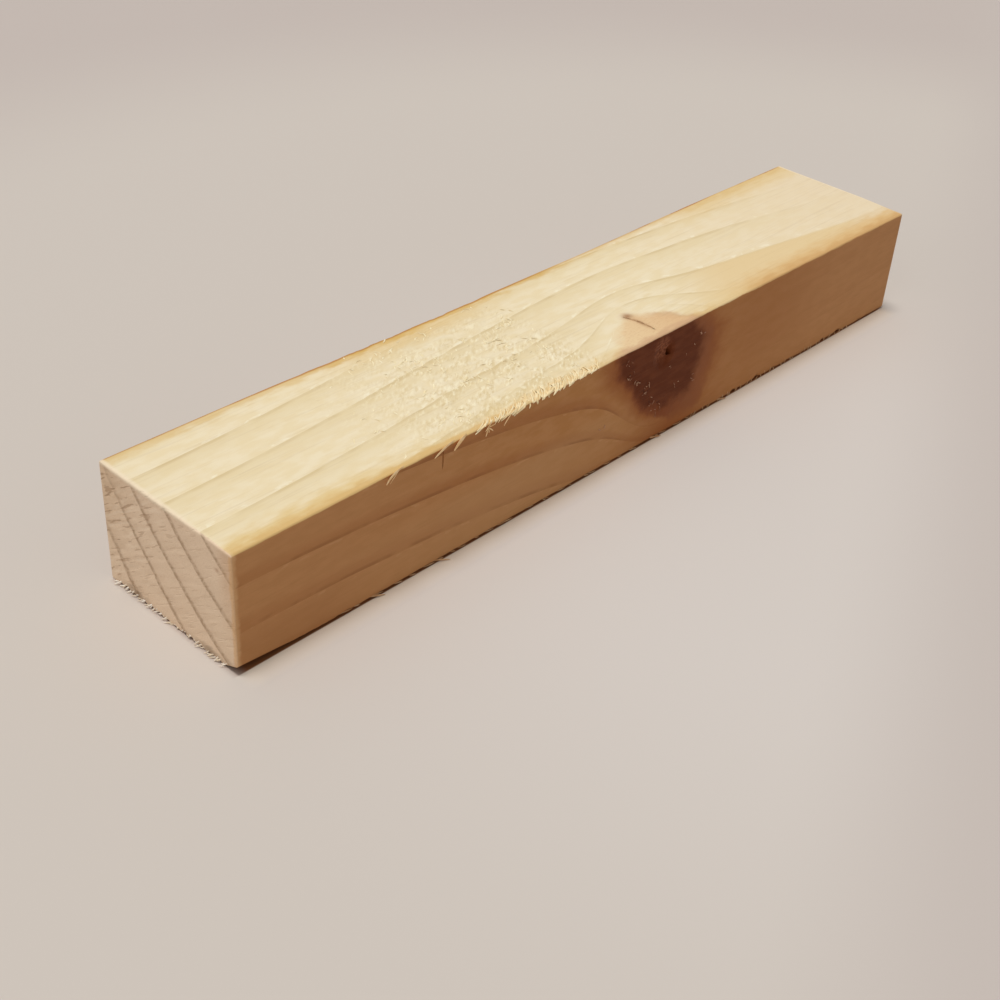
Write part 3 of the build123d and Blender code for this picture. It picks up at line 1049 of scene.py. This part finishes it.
pale_fibre = fibre_finish("pale_fibre", tone(252, 239, 204), tone(242, 224, 180))
gold_fibre = fibre_finish("gold_fibre", tone(252, 234, 192), tone(243, 216, 164))
tan_fibre = fibre_finish("tan_fibre", tone(246, 214, 166), tone(232, 190, 134))
white_fibre = fibre_finish("white_fibre", tone(243, 232, 217), tone(224, 204, 176))
brown_fibre = fibre_finish("brown_fibre", tone(218, 180, 140), tone(190, 142, 98))
knot_fibre = fibre_finish("knot_fibre", tone(204, 160, 130), tone(150, 100, 76))
print("six finishes for fibres")

# %% [markdown]
# The wool on the top lies in clumps before the knot. Most of it is the fuzz that the finish and the relief
# of the top already show, so only its longest fibres are strands. Each one curls at its own rate and
# hardly rises off the surface, with both tips pressed down.


# %% Wool on the top
def curl(random, x, y):
    """One curled fibre that lies on the top face."""
    heading = random.choice((0.0, math.pi)) + random.normal(0.8, 0.6)
    length = random.uniform(0.5, 1.5)
    turn = random.normal(0, 1.1)
    spots = np.linspace(0, length, 7)
    angle = heading + turn * spots
    step = length / 6
    path_x = x + np.concatenate([[0], np.cumsum(np.cos(angle[:-1]) * step)])
    path_y = y + np.concatenate([[0], np.cumsum(np.sin(angle[:-1]) * step)])
    arch = random.uniform(0.0, 0.07) * np.sin(spots / length * math.pi)
    height = ceiling(path_x, path_y) - top_relief(path_x, path_y) + 0.01 + arch
    return np.stack([path_x, path_y, height], axis=1)


def top_wool(count):
    random = np.random.default_rng(21)
    paths = []
    while len(paths) < count:
        x, y = random.uniform(NEAR + 16, NEAR + 71), random.uniform(FRONT + 1, BACK - 1)
        clumps = cloud(np.array([x * 0.28]), np.array([y * 0.42]), seed=22)[0]
        towards_front = 0.35 + 0.65 * (BACK - y) / (BACK - FRONT)
        if random.random() < wool(x) * towards_front * ease(clumps, 0.4, 0.75):
            paths.append(curl(random, x, y))
    return strands("top_wool", paths, random.uniform(0.07, 0.13, count), (0.1, 0.2, 1), flat=0.25)


wool_piece = top_wool(210)
wool_piece.data.materials.append(pale_fibre)

# %% [markdown]
# The fringe hangs over the front edge in small teeth that lean the way the wood was fed. It is closest
# just before the knot. Four long splinters have peeled off along the edge and hang free, the first of
# them forked, and one tuft stands out like a star. The teeth are drawn at random, because no one of them
# matters, but each splinter is placed one by one, because the eye finds them at once.


# %% Fringe and splinters on the front edge
def fringe():
    random = np.random.default_rng(31)
    paths, widths = [], []
    for start, end, count, scale in ((NEAR + 49.5, NEAR + 67, 46, 1.0), (NEAR + 42.5, NEAR + 50, 18, 0.65)):
        for place in np.linspace(start, end, count) + random.uniform(-0.2, 0.2, count):
            back, lean = scale * random.uniform(0.5, 2.4), random.uniform(0.3, 2.0)
            drop = scale * random.uniform(0.15, 0.8) * (1.0 - 0.6 * ease(place, NEAR + 54, NEAR + 66))
            root_at = (place + lean, FRONT + back, TOP - 0.03)
            bent, lift = random.normal(0, 0.45), random.uniform(0.02, 0.2)
            edge_at = (place + bent, FRONT - 0.05 - 0.1 * drop, TOP + lift)
            tip_at = (place - lean * random.uniform(0.3, 1.2), FRONT - 0.1 - 0.15 * drop, TOP - drop)
            paths.append(bend(root_at, edge_at, tip_at))
            widths.append(scale * random.uniform(0.13, 0.24))
    return strands("edge_fringe", paths, widths, (0, -1, 1), flat=0.4)


def splinters():
    edge = FRONT - 0.06
    paths = [
        bend((NEAR + 28.2, edge + 0.3, TOP - 0.1), (NEAR + 25.6, edge - 0.2, TOP + 0.05),
             (NEAR + 24.7, FRONT - 0.35, TOP - 1.15)),
        bend((NEAR + 27.2, edge + 0.1, TOP - 0.15), (NEAR + 26.4, edge - 0.2, TOP - 0.3),
             (NEAR + 25.4, FRONT - 0.3, TOP - 1.3)),
        bend((NEAR + 37.4, edge + 0.3, TOP - 0.1), (NEAR + 35.2, edge - 0.1, TOP),
             (NEAR + 33.3, FRONT - 0.35, TOP - 0.85)),
        bend((NEAR + 39.7, edge + 0.3, TOP - 0.1), (NEAR + 38.4, edge - 0.1, TOP - 0.1),
             (NEAR + 36.9, FRONT - 0.4, TOP - 1.15)),
        bend((NEAR + 50.0, edge + 0.5, TOP), (NEAR + 47.6, edge - 0.2, TOP),
             (NEAR + 46.5, FRONT - 0.4, TOP - 1.3)),
    ]
    widths = [0.24, 0.14, 0.26, 0.38, 0.15]
    for angle in np.radians((200, 235, 275, 320, 15, 80)):
        reach = 0.95 + 0.25 * math.sin(5 * angle)
        heart = np.array([NEAR + 43.5, FRONT - 0.15, TOP - 0.45])
        tip = heart + reach * np.array([math.cos(angle), -0.3, math.sin(angle)])
        paths.append(bend(heart, (heart + tip) / 2 + (0.05, -0.12, 0.1), tip))
        widths.append(0.11)
    return strands("edge_splinters", paths, widths, (0.2, 1, 0.3))


fringe().data.materials.append(gold_fibre)
splinters().data.materials.append(tan_fibre)

# %% [markdown]
# The lower edges have fibres of their own. Short pale ones stand between the saw's chips under the near
# end, browner ones between the tears past the knot and along the worn front edge, and four lie out on the
# bench. Each starts inside the wood, so that it never floats beside it.


# %% Fibres on the lower edges
def end_fibres():
    random = np.random.default_rng(41)
    paths = []
    for place in np.linspace(FRONT + 2.2, BACK - 0.6, 60) + random.uniform(-0.2, 0.2, 60):
        floor = float(ground(np.array([NEAR + 0.1]), np.array([place]))[0])
        rise, lean = random.uniform(0.2, 0.6), random.uniform(0.2, 1.0)
        out = random.uniform(0.0, 0.75) if random.random() < 0.6 else -0.3
        start = (NEAR + 0.1, place - lean * 0.4, floor + rise)
        middle = (NEAR - 0.15, place, floor + rise * 0.3)
        end = (NEAR - out, place + lean * 0.7, 0.15)
        paths.append(bend(start, middle, end))
    return strands("end_fibres", paths, random.uniform(0.07, 0.15, 60), (-1, 0, 0.2))


def tear_fibres():
    random = np.random.default_rng(42)
    paths = []
    for place in np.linspace(NEAR + 92, NEAR + 138, 34) + random.uniform(-0.6, 0.6, 34):
        rise, lean = random.uniform(0.2, 0.8), random.uniform(-0.9, 0.5)
        start = (place, FRONT + 0.05, rise + 0.25)
        end = (place + lean, FRONT + random.uniform(-0.15, 0.25), 0.07)
        paths.append(bend(start, (place + lean * 0.3, FRONT - 0.15, rise * 0.6), end))
    for place in np.linspace(NEAR + 18, NEAR + 92, 30) + random.uniform(-1.2, 1.2, 30):
        length, height = random.uniform(0.6, 2.2), max(worn_edge(place) + random.uniform(-0.1, 0.12), 0.3)
        start = (place - length, FRONT + 0.06, height + 0.12)
        end = (place, FRONT + 0.02, height - random.uniform(0.0, 0.16))
        middle = (place - length * 0.4, FRONT - 0.1, height + random.uniform(-0.12, 0.1))
        paths.append(bend(start, middle, end))
    for place, out in ((NEAR + 36.5, 0.9), (NEAR + 24.6, 0.5), (NEAR + 84.0, 0.35), (NEAR + 101.3, 0.3)):
        start = (place - 2.2, FRONT + 0.1, 0.5)
        paths.append(bend(start, (place - 0.9, FRONT - 0.2, 0.25), (place, FRONT - out, 0.12)))
    widths = random.uniform(0.07, 0.13, len(paths))
    widths[-4:] = 0.17
    return strands("tear_fibres", paths, widths, (0.2, 1, 0.2))


end_fibres().data.materials.append(white_fibre)
tear_fibres().data.materials.append(brown_fibre)

# %% [markdown]
# The knot is hard and brittle, so the planer plucked flecks out of its outer rings instead of wool.


# %% Flecks on the knot
FLECK_SPOTS = (                                     # mm past the pith, mm below the top, how many
    (-10.0, 2.3, 4), (-9.0, 4.6, 5), (-7.6, 6.3, 5), (-5.7, 9.5, 4), (-4.5, 8.1, 3),
    (-3.4, 11.6, 5), (-1.6, 13.5, 6), (2.7, 11.1, 4), (6.7, 11.6, 5), (4.9, 6.6, 1),
    (8.3, 3.8, 4), (1.0, 7.1, 2), (-14.2, 11.3, 2),
)


def knot_flecks():
    random = np.random.default_rng(51)
    paths = []
    for past, down, count in FLECK_SPOTS:
        for _ in range(count):
            angle, length = random.normal(-0.5, 0.8), random.uniform(0.25, 0.8)
            half = 0.5 * length * np.array([math.cos(angle), 0, math.sin(angle)])
            scatter = random.normal(0, 0.5, 3) * (1, 0, 1)
            centre = np.array([KNOT_X + past, FRONT - 0.02, TOP - down]) + scatter
            sag = np.array([random.normal(0, 0.15), -0.05, random.normal(0, 0.15)])
            paths.append(bend(centre - half, centre + sag, centre + half))
    return strands("knot_flecks", paths, random.uniform(0.04, 0.09, len(paths)), (0, 1, 0.1))


knot_flecks().data.materials.append(knot_fibre)

# %% [markdown]
# ## Bench, light and air
#
# The strip stands on a pale matt bench under a soft lamp, high up and a little behind it on the left. A
# faint window, wide and low on the left, lights the near end. The side that faces us lies in its own
# shade, and only the bench and the even grey air light it. Lamp, window and air together give a level
# surface just the light that shows a colour as it was written.


# %% Bench and light
def add_lamp(name, strength, width, towards):
    """Add a lamp far away in a direction, as many degrees wide as it looks from the strip."""
    lamp = bpy.data.objects.new(name, bpy.data.lights.new(name, "SUN"))
    lamp.data.energy = strength
    lamp.data.angle = math.radians(width)
    lamp.rotation_euler = Vector(towards).to_track_quat("Z", "Y").to_euler()
    bpy.context.scene.collection.objects.link(lamp)


def bench_paint_and_painted_light():
    """Matt paint carrying painted light: palest near the strip, darker far off and to the near right, warm
    painted light beside its front, and painted brown shade underneath.
    """
    paint = Finish("bench_paint_and_painted_light", roughness=0.7)
    x, y, _ = paint.place()
    away = root((x - 10.0) * (x - 10.0) + (y + 45.0) * (y + 45.0))
    along_strip = ease(x, NEAR - 1.0, NEAR + 2.0) * fade(x, FAR - 2.0, FAR + 1.0)
    beside = share(y, FRONT - 3.5, FRONT) * fade(y, FRONT, FRONT + 0.2)
    under = ease(y, FRONT - 0.15, FRONT + 0.1) * fade(y, BACK - 0.8, BACK)
    colour = paint.coats(
        tone(212, 203, 195),
        # Painted pool of light: palest near the strip, darker far off.
        (ease(away, 30.0, 110.0), tone(206, 196, 186)),
        (ease(away, 170.0, 250.0), tone(197, 185, 177)),
        # Painted shade towards the near right.
        (ease(x * 0.45 - y * 0.9, 45.0, 75.0), tone(198, 187, 179)),
        # Painted light: a warm strip of bounce light beside the front.
        (along_strip * beside, tone(248, 234, 214)),
        # Painted shade: brown under the strip, in the gap over the bench.
        (along_strip * under, tone(150, 96, 58)),
    )
    feed(paint.tree, paint.shader.inputs["Base Color"], colour)
    return paint.material


def add_bench(reach):
    """A flat bench top that reaches so many metres from the strip, and isn't part of it."""
    corners = [(-reach, -reach, 0), (reach, -reach, 0), (reach, reach, 0), (-reach, reach, 0)]
    mesh = bpy.data.meshes.new("bench")
    mesh.from_pydata(corners, [], [(0, 1, 2, 3)])
    mesh.materials.append(bench_paint_and_painted_light())
    bench = bpy.data.objects.new("bench", mesh)
    bpy.context.scene.collection.objects.link(bench)


def add_air(grey):
    """The same grey light from everywhere, shown on screen without a film look."""
    world = bpy.data.worlds.new("air")
    world.use_nodes = True
    world.node_tree.nodes["Background"].inputs["Color"].default_value = (grey, grey, grey, 1)
    bpy.context.scene.world = world
    bpy.context.scene.view_settings.view_transform = "Standard"


add_bench(3.0)
add_lamp("lamp", strength=1.89, width=15, towards=(-0.077, 0.077, 1.0))
add_lamp("window", strength=0.38, width=50, towards=(-1.0, 0.0, 0.58))
add_air(0.34)
print("lamp and bench are in place")
